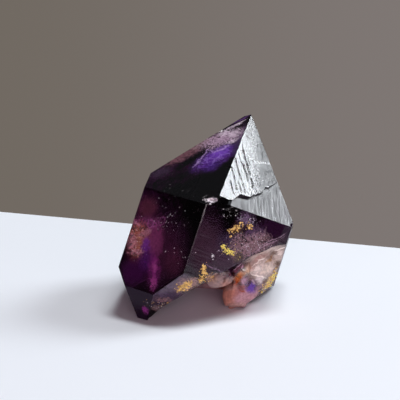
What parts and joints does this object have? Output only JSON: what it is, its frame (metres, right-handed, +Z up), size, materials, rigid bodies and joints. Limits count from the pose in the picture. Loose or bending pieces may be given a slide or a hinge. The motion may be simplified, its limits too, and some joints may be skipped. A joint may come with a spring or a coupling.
{
  "type": "amethyst crystal",
  "caption": "Stubby six-sided amethyst crystal with a whole point on top and a broken, overgrown point underneath, leaning as it stands.",
  "frame": {"origin": "on the floor, under the middle of the crystal's box as it stands", "axes": "+Z up, +Y away from the viewer of the picture, +X to the viewer's right"},
  "size_m": [0.0312, 0.0338, 0.0318],
  "materials": {
    "amethyst": "clear, dark violet natural crystal with bright growth faces"
  },
  "bodies": {
    "root": {"amethyst_crystal": "amethyst"}
  },
  "joints": []
}
